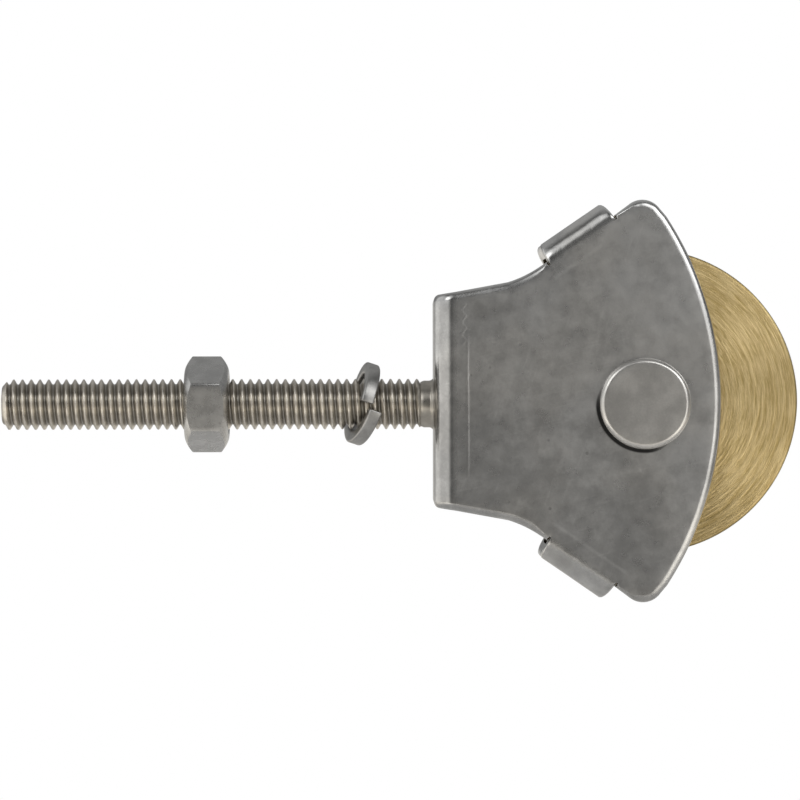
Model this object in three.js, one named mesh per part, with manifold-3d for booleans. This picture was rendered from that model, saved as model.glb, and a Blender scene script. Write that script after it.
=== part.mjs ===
// A small single line pulley: a grooved brass wheel turns between the two cheeks of a folded
// stainless bracket, and an M6 stud with a nut and a split lock washer fixes the bracket.
// Millimetres, +Z up. The origin is where the stud's axis crosses the web's outer face.
// +X runs from the web towards the wheel, the stud points along -X, and the wheel turns about Y.
import * as THREE from "three";
import { mergeVertices } from "three/addons/utils/BufferGeometryUtils.js";
import Module from "manifold-3d";

const wasm = await Module();
wasm.setup();

// Sheet-metal bracket
const sheet = 1.5;
const lift = 0.3; // the bracket and axle sit this far above the stud's axis
const innerWidth = 10.4; // between the cheeks' inside faces
const foldOuterRadius = 2.45; // outside radius of the two folds beside the web
const webHalfHeight = 12.05;
const foldEndHalfHeight = 12.32; // half height where the fold ends and the cheek begins
const shoulder = [8.38, 13.4]; // end of the gently flaring edge
const shoulderBend = [10.35, 14.0]; // control point of the curve from there to the slanted edge
const flankStart = [12.12, 15.22]; // the slanted edge, from here ...
const flankEnd = [21.98, 22.0]; // ... to here
const cornerCentre = [23.55, 20.25];
const cornerRadius = 2.42;
const frontRadius = 38; // the bowed edge beside the wheel
const frontReach = 32.45; // where the bowed edge crosses the mid line
const frontLead = 0.03; // radians between the corner's arc and the bowed edge's first point
const blendSteps = 6;
const cheekArcSteps = 10;
const cornerArcSteps = 8;
const foldArcSteps = 6;

// Rope guards: one tab folded inwards from each slanted edge
const tabFoot = [12.86, 15.73]; // the end nearer the web
const tabLength = 9.03;
const tabSetback = 0.5; // the fold begins this far inside the edge
const tabOuterRadius = 2.5;
const tabTip = 0.4; // distance from the tab's free edge to the middle plane
const tabRelief = 0.3; // slit beside each end of the fold
const tabRoot = 1.1; // overlap with the cheek
const tabTaper = 0.6; // how much each end draws in by the free edge

// Wheel and axle
const axleX = 23.9;
const wheelRadius = 17.2;
const wheelHalfWidth = 4.8;
const grooveRadius = 3.5;
const grooveCentre = 17.0; // distance from the axle to the centre of the groove's arc
const rimChamfer = 0.25;
const sleeveRadius = 4.0;
const sleeveBoreRadius = 3.1;
const sleeveHalfLength = 5.15;
const wheelBoreRadius = 4.1;
const rivetRadius = 3.0;
const rivetHoleRadius = 3.05;
const rivetHeadRadius = 5.12;
const rivetHeadHeight = 1.3;
const rivetHeadEdge = 0.45;
const closingHeadRadius = 4.7;
const closingHeadHeight = 1.45;
const closingHeadLand = 0.3; // upright rim below the dome
const headGap = 0.03;

// M6 stud: a fully threaded hexagon bolt whose head is held between the cheeks
const studLength = 49.1; // from the web's outer face to the free end
const threadRadius = 2.88;
const neckRadius = 2.67;
const neckLength = 1.35;
const beadRadius = 3.05; // bead round the neck, against the web
const beadLength = 0.6;
const studHoleRadius = 3.1;
const endChamfer = 0.6;
const tipRadius = 2.32;
const runOut = 0.45; // length over which the thread fades into the neck
const hexAcrossFlats = 9.65;
const hexAcrossCorners = 10.86;
const boltHeadHeight = 4.0;
const washerFaceRadius = 4.4;
const washerFaceHeight = 0.45;
const crownHeight = 0.45; // the chamfer of the head's outer corners
const crownInset = 0.25;

// M6 nut and split lock washer
const nutThickness = 5.0;
const nutCentreX = -25.8;
const nutTurn = THREE.MathUtils.degToRad(5.4); // how far a flat is turned from facing -Y
const nutBoreRadius = 3.0;
const nutMouthRadius = 3.4;
const nutFaceRadius = 4.0;
const nutShoulder = [0.3, 4.85]; // where the end's shallow cone meets its steeper one
const nutChamfer = 0.86; // how far back from the end the corners begin
const washerCentreX = -7.85;
const washerRadius = 4.7;
const washerBore = 3.34;
const washerThickness = 1.5;
const washerSpread = 1.29; // axial offset between the two cut ends
const washerWind = 1.5; // above 1, the lower arm is sprung out more than the upper one
const washerGap = THREE.MathUtils.degToRad(9);
const washerSteps = 40;
const washerLean = THREE.MathUtils.degToRad(18.2); // its top leans towards the bracket
const washerYaw = THREE.MathUtils.degToRad(12); // its split side is turned towards the bracket

const roundSteps = 36;
const wheelSteps = 48;
const grooveSteps = 14;
const domeSteps = 6;
const edgeSteps = 4;
const spare = 1; // how far a rough shape or a cutter reaches past what it must
const roughHeight = 60;
const roughWidth = 20;
const outerY = innerWidth / 2 + sheet;
const cheekInsideY = innerWidth / 2;

// A closed three.js geometry as a solid that can be joined and cut.
function solid(geometry) {
  const bare = geometry.clone();
  bare.deleteAttribute("normal");
  bare.deleteAttribute("uv");
  const merged = mergeVertices(bare, 1e-4);
  return new wasm.Manifold(
    new wasm.Mesh({
      numProp: 3,
      vertProperties: merged.attributes.position.array,
      triVerts: new Uint32Array(merged.index.array),
    }),
  );
}

function geometryOf(manifold) {
  const mesh = manifold.getMesh();
  const geometry = new THREE.BufferGeometry();
  geometry.setAttribute("position", new THREE.BufferAttribute(mesh.vertProperties, 3));
  geometry.setIndex(new THREE.BufferAttribute(mesh.triVerts, 1));
  geometry.computeVertexNormals();
  return geometry;
}

// A solid of revolution about Y from [radius, y] points.
function turned(points, steps = roundSteps) {
  const profile = points.map(([radius, y]) => new THREE.Vector2(radius, y));
  return new THREE.LatheGeometry(profile, steps);
}

// The same about X, from [x, radius] points listed towards +X.
function turnedAlongX(points, steps = roundSteps) {
  return turned(points.map(([x, radius]) => [radius, x]), steps).rotateZ(-Math.PI / 2);
}

// Points of an arc, both ends included.
function arcPoints(centre, radius, from, to, steps) {
  const points = [];
  for (let i = 0; i <= steps; i += 1) {
    const angle = from + ((to - from) * i) / steps;
    points.push([centre[0] + radius * Math.cos(angle), centre[1] + radius * Math.sin(angle)]);
  }
  return points;
}

function shapeOf(points) {
  return new THREE.Shape(points.map(([x, y]) => new THREE.Vector2(x, y)));
}

// The bracket's cheeks and web seen from above: a channel, open towards +X.
function channel() {
  const reach = frontReach + spare;
  const inner = foldOuterRadius - sheet;
  const farFold = [foldOuterRadius, outerY - foldOuterRadius];
  const nearFold = [foldOuterRadius, foldOuterRadius - outerY];
  const left = Math.PI;
  const up = Math.PI / 2;
  const down = (3 * Math.PI) / 2;
  const outline = [
    [reach, -outerY],
    [reach, -cheekInsideY],
    ...arcPoints(nearFold, inner, down, left, foldArcSteps),
    ...arcPoints(farFold, inner, left, up, foldArcSteps),
    [reach, cheekInsideY],
    [reach, outerY],
    ...arcPoints(farFold, foldOuterRadius, up, left, foldArcSteps),
    ...arcPoints(nearFold, foldOuterRadius, left, down, foldArcSteps),
  ];
  const options = { depth: roughHeight, bevelEnabled: false };
  return new THREE.ExtrudeGeometry(shapeOf(outline), options).translate(0, 0, -roughHeight / 2);
}

// The cheek's outline in [x, z], upper half, from the web to the bowed edge's middle.
function upperOutline() {
  const flankAngle = Math.atan2(flankEnd[1] - flankStart[1], flankEnd[0] - flankStart[0]);
  const frontCentre = [frontReach - frontRadius, 0];
  const toCorner = Math.atan2(cornerCentre[1] - frontCentre[1], cornerCentre[0] - frontCentre[0]);
  const blend = new THREE.QuadraticBezierCurve(
    new THREE.Vector2(...shoulder),
    new THREE.Vector2(...shoulderBend),
    new THREE.Vector2(...flankStart),
  );
  return [
    [-spare, webHalfHeight],
    [0, webHalfHeight],
    [foldOuterRadius, foldEndHalfHeight],
    ...blend.getPoints(blendSteps).map((point) => [point.x, point.y]),
    ...arcPoints(cornerCentre, cornerRadius, flankAngle + Math.PI / 2, toCorner, cornerArcSteps),
    ...arcPoints(frontCentre, frontRadius, toCorner - frontLead, 0, cheekArcSteps),
  ];
}

function cheekOutline() {
  const upper = upperOutline();
  const lower = upper.slice(0, -1).map(([x, z]) => [x, -z]);
  const options = { depth: roughWidth, bevelEnabled: false };
  const geometry = new THREE.ExtrudeGeometry(shapeOf([...upper, ...lower.reverse()]), options);
  return geometry.rotateX(Math.PI / 2).translate(0, roughWidth / 2, 0);
}

// A strip beside the slanted edge: a profile in [outwards from the edge, |y|], run along the edge.
// side is -1 for the cheek at -Y, and level is 1 for the upper edge. taper draws the ends in towards
// the middle plane.
function alongFlank(profile, start, length, side, level, taper = 0) {
  const angle = Math.atan2(flankEnd[1] - flankStart[1], flankEnd[0] - flankStart[0]);
  const along = new THREE.Vector3(Math.cos(angle), 0, level * Math.sin(angle));
  const outwards = new THREE.Vector3(-Math.sin(angle), 0, level * Math.cos(angle));
  const sense = -side * level;
  const place = new THREE.Matrix4().makeBasis(
    outwards,
    new THREE.Vector3(0, side, 0),
    along.clone().multiplyScalar(sense),
  );
  const from = new THREE.Vector3(tabFoot[0], 0, level * tabFoot[1]);
  from.addScaledVector(along, sense > 0 ? start : start + length);
  place.setPosition(from);
  const geometry = new THREE.ExtrudeGeometry(shapeOf(profile), { depth: length, bevelEnabled: false });
  const points = geometry.getAttribute("position");
  for (let i = 0; i < points.count; i += 1) {
    const inset = (taper * (outerY - points.getY(i))) / outerY;
    points.setZ(i, length / 2 + (points.getZ(i) - length / 2) * (1 - (2 * inset) / length));
  }
  return solid(geometry.applyMatrix4(place));
}

function tab(side, level) {
  const centre = [-tabSetback, outerY - tabOuterRadius];
  const inner = tabOuterRadius - sheet;
  const up = Math.PI / 2;
  const profile = [
    [-tabSetback - tabRoot, cheekInsideY],
    ...arcPoints(centre, inner, up, 0, foldArcSteps),
    [centre[0] + inner, tabTip],
    [centre[0] + tabOuterRadius, tabTip],
    ...arcPoints(centre, tabOuterRadius, 0, up, foldArcSteps),
    [-tabSetback - tabRoot, outerY],
  ];
  return alongFlank(profile, 0, tabLength, side, level, tabTaper);
}

// What is cut away beside a tab before it is joined on.
function tabNotch(side, level) {
  const past = tabOuterRadius + spare;
  const profile = [
    [-tabSetback, cheekInsideY - spare],
    [past, cheekInsideY - spare],
    [past, outerY + spare],
    [-tabSetback, outerY + spare],
  ];
  return alongFlank(profile, -tabRelief, tabLength + 2 * tabRelief, side, level);
}

function bracket() {
  const rivetHole = new THREE.CylinderGeometry(rivetHoleRadius, rivetHoleRadius, roughWidth, roundSteps);
  const holeLength = 4 * sheet;
  const studHole = new THREE.CylinderGeometry(studHoleRadius, studHoleRadius, holeLength, roundSteps);
  let body = solid(channel()).intersect(solid(cheekOutline()));
  body = body.subtract(solid(rivetHole.translate(axleX, 0, 0)));
  for (const side of [-1, 1]) {
    for (const level of [-1, 1]) {
      body = body.subtract(tabNotch(side, level)).add(tab(side, level));
    }
  }
  body = body.translate([0, 0, lift]).subtract(solid(studHole.rotateZ(Math.PI / 2)));
  return geometryOf(body);
}

// The wheel's section as a closed loop of [radius, y] points, with a round rope groove.
function wheel() {
  const rimY = Math.sqrt(grooveRadius ** 2 - (wheelRadius - grooveCentre) ** 2);
  const mouth = Math.atan2(rimY, wheelRadius - grooveCentre);
  const groove = arcPoints([grooveCentre, 0], grooveRadius, -mouth, mouth - 2 * Math.PI, grooveSteps);
  return turned(
    [
      [wheelBoreRadius, -wheelHalfWidth],
      [wheelRadius - rimChamfer, -wheelHalfWidth],
      [wheelRadius, rimChamfer - wheelHalfWidth],
      ...groove,
      [wheelRadius, wheelHalfWidth - rimChamfer],
      [wheelRadius - rimChamfer, wheelHalfWidth],
      [wheelBoreRadius, wheelHalfWidth],
      [wheelBoreRadius, -wheelHalfWidth],
    ],
    wheelSteps,
  );
}

// A plain tube on the rivet, which the wheel runs on.
function sleeve() {
  return turned([
    [sleeveBoreRadius, -sleeveHalfLength],
    [sleeveRadius, -sleeveHalfLength],
    [sleeveRadius, sleeveHalfLength],
    [sleeveBoreRadius, sleeveHalfLength],
    [sleeveBoreRadius, -sleeveHalfLength],
  ]);
}

// The axle rivet: a flat head with a rounded edge at -Y, and a low domed closing head at +Y.
function rivet() {
  const seat = outerY + headGap;
  const rim = seat + closingHeadLand;
  const nearFace = -seat - rivetHeadHeight;
  const edge = [rivetHeadRadius - rivetHeadEdge, nearFace + rivetHeadEdge];
  const dome = [];
  for (let i = 0; i < domeSteps; i += 1) {
    const angle = (i / domeSteps) * (Math.PI / 2);
    dome.push([closingHeadRadius * Math.cos(angle), rim + closingHeadHeight * Math.sin(angle)]);
  }
  return turned([
    [0, nearFace],
    ...arcPoints(edge, rivetHeadEdge, -Math.PI / 2, 0, edgeSteps),
    [rivetHeadRadius, -seat],
    [rivetRadius, -seat],
    [rivetRadius, seat],
    [closingHeadRadius, seat],
    ...dome,
    [0, rim + closingHeadHeight],
  ]);
}

// A hexagonal prism along X with two of its flats facing +Y and -Y.
function hexagon(from, to) {
  const corner = hexAcrossFlats / Math.sqrt(3);
  const prism = new THREE.CylinderGeometry(corner, corner, to - from, 6);
  return prism.rotateZ(-Math.PI / 2).translate((from + to) / 2, 0, 0);
}

function stud() {
  const inside = sheet + headGap;
  const headFrom = inside + washerFaceHeight;
  const headTo = inside + boltHeadHeight;
  const overlap = headFrom + washerFaceHeight;
  const shank = turnedAlongX([
    [-studLength, 0],
    [-studLength, tipRadius],
    [endChamfer - studLength, threadRadius],
    [-neckLength - runOut, threadRadius],
    [-neckLength, neckRadius],
    [-beadLength - headGap, neckRadius],
    [-headGap, beadRadius],
    [-headGap, threadRadius],
    [inside, threadRadius],
    [inside, washerFaceRadius],
    [overlap, washerFaceRadius],
    [overlap, 0],
  ]);
  const crown = turnedAlongX([
    [headFrom, 0],
    [headFrom, hexAcrossCorners / 2],
    [headTo - crownHeight, hexAcrossCorners / 2],
    [headTo, hexAcrossFlats / 2 - crownInset],
    [headTo, 0],
  ]);
  const head = solid(hexagon(headFrom, headTo)).intersect(solid(crown));
  return geometryOf(solid(shank).add(head));
}

// The nut about its own centre: a hexagon turned down to cones at both ends, and its bore.
function nut() {
  const half = nutThickness / 2;
  const corner = hexAcrossCorners / 2;
  const mouth = nutMouthRadius - nutBoreRadius;
  const blank = turnedAlongX([
    [-half, 0],
    [-half, nutFaceRadius],
    [nutShoulder[0] - half, nutShoulder[1]],
    [nutChamfer - half, corner],
    [half - nutChamfer, corner],
    [half - nutShoulder[0], nutShoulder[1]],
    [half, nutFaceRadius],
    [half, 0],
  ]);
  const bore = turnedAlongX([
    [-half - spare, 0],
    [-half - spare, nutMouthRadius],
    [-half, nutMouthRadius],
    [mouth - half, nutBoreRadius],
    [half - mouth, nutBoreRadius],
    [half, nutMouthRadius],
    [half + spare, nutMouthRadius],
    [half + spare, 0],
  ]);
  const body = solid(hexagon(-half, half)).intersect(solid(blank)).subtract(solid(bore));
  return geometryOf(body);
}

// The split washer about its own centre: a square-cut wire wound just under one turn about X,
// cut at its -Y side, with the upper cut end set back towards -X.
function lockWasher() {
  const half = washerThickness / 2;
  const section = [
    [-half, washerBore],
    [-half, washerRadius],
    [half, washerRadius],
    [half, washerBore],
  ];
  const positions = [];
  const faces = [];
  for (let i = 0; i <= washerSteps; i += 1) {
    const part = i / washerSteps;
    const angle = washerGap / 2 + (2 * Math.PI - washerGap) * part;
    const shift = washerSpread * (part ** washerWind - 0.5);
    for (const [x, radius] of section) {
      positions.push(x + shift, -radius * Math.cos(angle), radius * Math.sin(angle));
    }
  }
  for (let i = 0; i < washerSteps; i += 1) {
    for (let k = 0; k < 4; k += 1) {
      const a = 4 * i + k;
      const b = 4 * i + ((k + 1) % 4);
      faces.push(a, b, a + 4, b, b + 4, a + 4);
    }
  }
  const last = 4 * washerSteps;
  faces.push(0, 2, 1, 0, 3, 2);
  faces.push(last, last + 1, last + 2, last, last + 2, last + 3);
  const geometry = new THREE.BufferGeometry();
  geometry.setAttribute("position", new THREE.Float32BufferAttribute(positions, 3));
  geometry.setIndex(faces);
  geometry.computeVertexNormals();
  return geometry;
}

const stainless = { color: 0x7b7b77, roughness: 0.38, metalness: 1 };
const brightStainless = { color: 0x9a978c, roughness: 0.28, metalness: 1 };
const brass = { color: 0xb89d63, roughness: 0.34, metalness: 1 };

function part(name, geometry, finish) {
  const mesh = new THREE.Mesh(geometry, new THREE.MeshStandardMaterial(finish));
  mesh.name = name;
  return mesh;
}

const pulley = new THREE.Group();
pulley.add(part("frame", bracket(), stainless));
pulley.add(part("stud_bolt", stud(), brightStainless));

const axle = new THREE.Group();
axle.position.set(axleX, 0, lift);
axle.add(part("axle_rivet", rivet(), stainless));
axle.add(part("axle_sleeve", sleeve(), stainless));
axle.add(part("sheave", wheel(), brass));
pulley.add(axle);

const hexNut = part("hex_nut", nut(), brightStainless);
hexNut.position.set(nutCentreX, 0, 0);
hexNut.rotation.x = nutTurn;
pulley.add(hexNut);

const washer = part("lock_washer", lockWasher(), stainless);
washer.position.set(washerCentreX, 0, 0);
washer.rotation.set(0, washerLean, washerYaw, "YZX");
pulley.add(washer);

export default pulley;
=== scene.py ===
"""Looks for a small single line pulley: a folded stainless bracket, a brass wheel, and an M6 stud
with its nut and lock washer. Shapes are built in millimetres and turned into metres at the end."""

import math

import bmesh
import bpy
from mathutils import Matrix, Vector, noise
from mathutils.geometry import delaunay_2d_cdt


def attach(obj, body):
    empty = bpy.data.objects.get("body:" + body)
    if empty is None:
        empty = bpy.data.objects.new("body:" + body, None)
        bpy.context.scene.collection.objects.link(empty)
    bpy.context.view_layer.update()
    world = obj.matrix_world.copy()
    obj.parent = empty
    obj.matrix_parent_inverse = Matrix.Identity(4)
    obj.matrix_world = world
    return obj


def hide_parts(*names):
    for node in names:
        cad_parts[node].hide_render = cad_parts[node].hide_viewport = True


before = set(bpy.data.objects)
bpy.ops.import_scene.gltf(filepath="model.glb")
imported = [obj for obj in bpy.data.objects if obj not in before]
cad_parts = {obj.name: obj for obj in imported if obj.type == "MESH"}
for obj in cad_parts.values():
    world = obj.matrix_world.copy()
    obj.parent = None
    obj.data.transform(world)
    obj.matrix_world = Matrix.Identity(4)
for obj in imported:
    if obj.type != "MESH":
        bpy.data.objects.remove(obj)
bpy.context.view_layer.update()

MM = 0.001
TURN = 2 * math.pi

# Bracket
SHEET = 1.5
OUTER_Y = 6.7
LIFT = 0.3  # the bracket and the axle sit this far above the axis of the stud
FOLD_RADIUS = 2.45
WEB_HALF_HEIGHT = 12.05
FOLD_END_HALF_HEIGHT = 12.32
SHOULDER = Vector((8.38, 13.4))
SHOULDER_CONTROL = Vector((10.35, 14.0))
FLANK_START = Vector((12.12, 15.22))
FLANK_END = Vector((21.98, 22.0))
CORNER_CENTRE = Vector((23.55, 20.25))
CORNER_RADIUS = 2.42
FRONT_RADIUS = 38.0
FRONT_REACH = 32.45
TAB_FOOT = Vector((12.86, 15.73))
TAB_LENGTH = 9.03
TAB_SETBACK = 0.5
TAB_RADIUS = 2.5
TAB_TIP = 0.4
TAB_RELIEF = 0.1
TAB_TAPER = 0.6
TAB_CORNER = 0.55
STUD_HOLE = 3.1
RIVET_HOLE = 3.05
WEB_FLAT = OUTER_Y - FOLD_RADIUS
FOLD_LENGTH = FOLD_RADIUS * math.pi / 2
TAB_BEND = TAB_RADIUS * math.pi / 2
TAB_END = TAB_BEND + OUTER_Y - TAB_RADIUS - TAB_TIP  # measured from the start of the tab's fold
SEAM = FOLD_RADIUS - WEB_FLAT - FOLD_LENGTH  # the web's middle, measured along the flat sheet
PRESS_LINE = 3.85  # a faint ridge that the press left beside the web
PRESS_REACH = 8.6
PRESS_WIDTH = 0.15
PRESS_HEIGHT = 0.03
WAVY_LINE = 3.45  # and a wavy mark above it

# How the sheared edge rolls over: distance in from the edge, and depth below the outside face
EDGE_ROLL = [
    (0.86, 0.0), (0.76, 0.012), (0.6, 0.053), (0.46, 0.1), (0.33, 0.165), (0.2, 0.25), (0.1, 0.36),
    (0.02, 0.5), (0.0, 0.64), (0.0, 1.39), (0.11, 1.5),
]
HOLE_EDGE = [(0.12, 0.0), (0.0, 0.12), (0.0, 1.38), (0.12, 1.5)]

# Wheel and axle
AXLE_X = 23.9
WHEEL_RADIUS = 17.2
WHEEL_HALF = 4.8
GROOVE_RADIUS = 3.5
GROOVE_CENTRE = 17.0
WHEEL_BORE = 4.1
TURNED_DEPTH = 0.012  # the mean depth of the ridges that turning left on the faces
FEED = 0.16  # how far apart those ridges are
BORE_EDGE = (0.25, 0.22)  # along the axle, and along the radius
RIM_EDGE = [(0.02, 0.22), (0.09, 0.07), (0.24, 0.0)]  # below the face, and below the rim
SLEEVE_RADIUS = 4.0
SLEEVE_BORE = 3.1
SLEEVE_HALF = 5.15
RIVET_RADIUS = 3.0
HEAD_RADIUS = 5.12
HEAD_HEIGHT = 1.3
HEAD_OFFSET = Vector((-0.09, 0.0, -0.3))  # the near head was pressed a little off centre
HEAD_ROLL = 0.62  # radius of the near head's rounded edge
FAR_HEAD_RADIUS = 4.7
FAR_HEAD_HEIGHT = 1.45
GAP = 0.03

# Stud, nut and lock washer
STUD_LENGTH = 49.1
PITCH = 1.0
CREST = 2.88
ROOT = 2.3
TIP_RADIUS = 2.1
END_CHAMFER = 0.62
RUN_OUT = 0.5  # length over which the thread fades into the neck
NECK_RADIUS = 2.67
NECK_LENGTH = 1.35
HEX_FLATS = 9.65
HEX_CORNERS = 10.86
HEX_ROUNDING = 44  # a higher power gives sharper corners
HEAD_TOP = 5.53
NUT_HALF = 2.5
NUT_X = -25.8
NUT_TURN = math.radians(5.4)
WASHER_X = -7.85
WASHER_RADIUS = 4.7
WASHER_BORE = 3.34
WASHER_THICKNESS = 1.5
WASHER_SPREAD = 1.29
WASHER_WIND = 1.5
WASHER_GAP = math.radians(9)
WASHER_LEAN = math.radians(18.2)
WASHER_YAW = math.radians(12)


# ---------------------------------------------------------------- mesh helpers

def new_object(name, data):
    item = bpy.data.objects.new(name, data)
    bpy.context.scene.collection.objects.link(item)
    return item


class Shape:
    """Points in millimetres and faces, gathered before they become one mesh."""

    def __init__(self):
        self.points = []
        self.faces = []
        self.wear_and_shade = []

    def add(self, points, wear_and_shade=0.0):
        """Adds points, with how polished by wear or by the press they are, from 0 to 1. On the stud
        the value instead sets painted shade, darkest at 0.
        """
        first = len(self.points)
        self.points.extend(Vector(p) for p in points)
        count = len(self.points) - first
        self.wear_and_shade.extend(wear_and_shade if isinstance(wear_and_shade, list) else [wear_and_shade] * count)
        return list(range(first, first + count))

    def skin(self, rows, closed=True):
        """Quads between rows of point numbers."""
        for a, b in zip(rows, rows[1:]):
            count = len(a) if closed else len(a) - 1
            for i in range(count):
                j = (i + 1) % len(a)
                self.faces.append((a[i], a[j], b[j], b[i]))

    def cap(self, row):
        """Closes a ring with a fan about its middle."""
        middle = sum((self.points[i] for i in row), Vector()) / len(row)
        centre = self.add([middle])[0]
        for i, a in enumerate(row):
            self.faces.append((a, row[(i + 1) % len(row)], centre))

    def move(self, matrix):
        self.points = [matrix @ p for p in self.points]
        return self


def make(name, shape, body, node, material, sharp=38):
    """One finished piece that stands for a CAD node and rides on its body."""
    mesh = bpy.data.meshes.new(name)
    mesh.from_pydata([p * MM for p in shape.points], [], shape.faces)
    mesh.attributes.new("wear_and_shade", "FLOAT", "POINT").data.foreach_set("value", shape.wear_and_shade)
    work = bmesh.new()
    work.from_mesh(mesh)
    bmesh.ops.remove_doubles(work, verts=work.verts, dist=0.0004 * MM)
    bmesh.ops.dissolve_degenerate(work, edges=work.edges, dist=0.0001 * MM)
    bmesh.ops.recalc_face_normals(work, faces=work.faces)
    work.to_mesh(mesh)
    work.free()
    mesh.shade_smooth()
    mesh.set_sharp_from_angle(angle=math.radians(sharp))
    mesh.materials.append(material)
    piece = new_object(name, mesh)
    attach(piece, body)
    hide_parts(node)


def arc(centre, radius, start, end, steps):
    """Points of an arc in a plane, both ends included, with angles in radians."""
    angles = [start + (end - start) * i / steps for i in range(steps + 1)]
    x, y = centre[0], centre[1]
    return [Vector((x + radius * math.cos(a), y + radius * math.sin(a))) for a in angles]


def ring_x(x, radius, steps):
    angles = [TURN * i / steps for i in range(steps)]
    return [(x, radius * math.cos(a), radius * math.sin(a)) for a in angles]


def ring_y(y, radius, steps, middle):
    angles = [TURN * i / steps for i in range(steps)]
    return [
        (middle[0] + radius * math.cos(a), y, middle[2] + radius * math.sin(a)) for a in angles
    ]


def lathe_x(shape, profile, steps, cap_start=True, cap_end=True):
    """A turned shape about the X axis from (x, radius) pairs."""
    rows = [shape.add(ring_x(x, radius, steps)) for x, radius in profile]
    shape.skin(rows)
    if cap_start:
        shape.cap(rows[0])
    if cap_end:
        shape.cap(rows[-1])


def lathe_y(shape, profile, steps, middle=(AXLE_X, 0, LIFT), loop=False):
    """A turned shape about an axis along Y from (y, radius) pairs; a loop has no end caps."""
    rows = [shape.add(ring_y(y, radius, steps, middle)) for y, radius in profile]
    shape.skin(rows + rows[:1] if loop else rows)
    if not loop:
        shape.cap(rows[0])
        shape.cap(rows[-1])


# ---------------------------------------------------------------- bracket

FLANK = (FLANK_END - FLANK_START).normalized()
FLANK_OUT = Vector((-FLANK.y, FLANK.x))


def along_flank(start, outwards):
    """A point of the flat sheet beside the upper slanted edge."""
    return TAB_FOOT + FLANK * start + FLANK_OUT * outwards


def tab_inset(run):
    """How far a tab's end draws in, a given length of sheet past the start of its fold."""
    if run <= TAB_BEND:
        height = TAB_RADIUS * (1 - math.cos(run / TAB_RADIUS))
    else:
        height = TAB_RADIUS + run - TAB_BEND
    return TAB_TAPER * height / OUTER_Y


def tab_outline():
    """The tab's free outline on the flat sheet, from its foot round its rounded corners."""
    low = TAB_END - TAB_CORNER
    runs = [TAB_BEND * i / 8 for i in range(9)] + [low - 1.6, low]
    side = [(tab_inset(run), run) for run in runs]
    centre = (tab_inset(TAB_END) + TAB_CORNER, low)
    corner = [(p.x, p.y) for p in arc(centre, TAB_CORNER, math.pi, math.pi / 2, 5)]
    half = side + corner[1:]
    across = [(TAB_LENGTH * i / 8, TAB_END) for i in range(2, 7)]
    other = [(TAB_LENGTH - start, run) for start, run in reversed(half)]
    return [along_flank(start, run - TAB_SETBACK) for start, run in half + across + other]


def upper_outline():
    """Half of the flat sheet's outline, with how much its edge rolls over at each point."""
    points = [(Vector((SEAM, WEB_HALF_HEIGHT)), 1.0)]
    points += [(Vector((SEAM + WEB_FLAT * i / 4, WEB_HALF_HEIGHT)), 1.0) for i in range(1, 4)]
    for i in range(13):
        angle = math.pi / 2 * i / 12
        rise = (1 - math.cos(angle)) * (FOLD_END_HALF_HEIGHT - WEB_HALF_HEIGHT)
        x = FOLD_RADIUS - FOLD_LENGTH + FOLD_RADIUS * angle
        points.append((Vector((x, WEB_HALF_HEIGHT + rise)), 1.0))
    foot = Vector((FOLD_RADIUS, FOLD_END_HALF_HEIGHT))
    points += [(foot.lerp(SHOULDER, i / 6), 1.0) for i in range(1, 6)]
    for i in range(9):
        part = i / 8
        first = SHOULDER.lerp(SHOULDER_CONTROL, part)
        points.append((first.lerp(SHOULDER_CONTROL.lerp(FLANK_START, part), part), 1.0))
    points[-3:] = [(p, roll) for (p, _), roll in zip(points[-3:], (0.9, 0.75, 0.6))]
    points += [(along_flank(-TAB_RELIEF, 0.0), 0.3)]
    points += [(along_flank(-TAB_RELIEF * 0.9, -TAB_SETBACK), 0.08)]
    free = tab_outline()
    for i, point in enumerate(free):
        from_slit = min(i, len(free) - 1 - i)
        points.append((point, min(0.45, 0.1 + 0.07 * from_slit)))
    points += [(along_flank(TAB_LENGTH + TAB_RELIEF * 0.9, -TAB_SETBACK), 0.08)]
    points += [(along_flank(TAB_LENGTH + TAB_RELIEF, 0.0), 0.3)]
    front = Vector((FRONT_REACH - FRONT_RADIUS, 0))
    to_corner = (CORNER_CENTRE - front).angle(Vector((1, 0)))
    flank_angle = FLANK.angle(Vector((1, 0)))
    corner = arc(CORNER_CENTRE, CORNER_RADIUS, flank_angle + math.pi / 2, to_corner, 16)
    bow = arc(front, FRONT_RADIUS, to_corner - 0.03, 0, 22)
    points += [(p, min(1.0, 0.6 + 0.1 * i)) for i, p in enumerate(corner + bow)]
    return points


def sheet_outline():
    upper = upper_outline()
    lower = [(Vector((p.x, -p.y)), roll) for p, roll in upper[:-1]]
    return upper + lower[::-1]


def inwards(points):
    """The mitred direction into the sheet at each point of a clockwise open outline."""
    result = []
    for i, point in enumerate(points):
        sides = []
        if i > 0:
            sides.append((point - points[i - 1]).normalized())
        if i < len(points) - 1:
            sides.append((points[i + 1] - point).normalized())
        normals = [Vector((side.y, -side.x)) for side in sides]
        middle = sum(normals, Vector((0, 0))).normalized()
        result.append(middle / max(0.5, middle.dot(normals[0])))
    return result


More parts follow.
